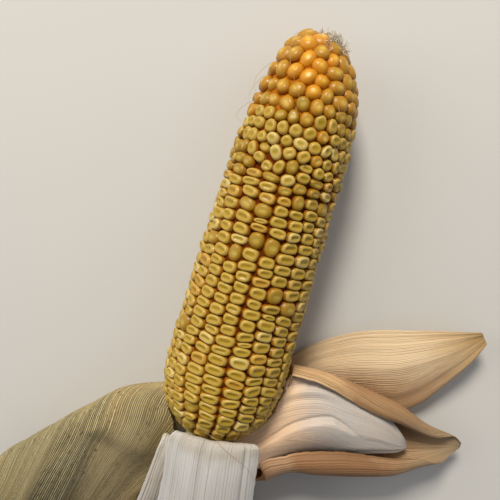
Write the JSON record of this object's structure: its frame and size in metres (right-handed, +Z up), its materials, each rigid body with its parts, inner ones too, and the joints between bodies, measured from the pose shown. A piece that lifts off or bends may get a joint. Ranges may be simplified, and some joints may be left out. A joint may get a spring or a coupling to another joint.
{
  "type": "maize ear with peeled husks",
  "caption": "Ripe ear of dent maize cut from its plant, lying on its side: rows of kernels, a tuft of dry silk at the tip, and dry husks peeled back from a short cut shank.",
  "frame": {"origin": "on the ground, under the middle of the bounding box", "axes": "+Z up, +Y from the cut end of the shank towards the tip of the ear, +X to the right of the ear seen from above with its tip at the top"},
  "size_m": [0.2212, 0.3356, 0.0546],
  "materials": {
    "kernels": "satin",
    "silk": "matt",
    "shank": "matt",
    "husk_pale": "satin",
    "husk_cream": "satin",
    "husk_tan": "satin",
    "husk_striped": "matt"
  },
  "bodies": {
    "root": {"ear": "kernels", "silk_tuft": "silk", "shank": "shank", "husk_front": "husk_pale", "husk_front_left": "husk_cream", "husk_left": "husk_striped", "husk_right_inner": "husk_pale", "husk_right_boat": "husk_tan", "husk_right_upper": "husk_cream", "husk_back_left": "husk_cream", "husk_back_right": "husk_striped"}
  },
  "joints": []
}
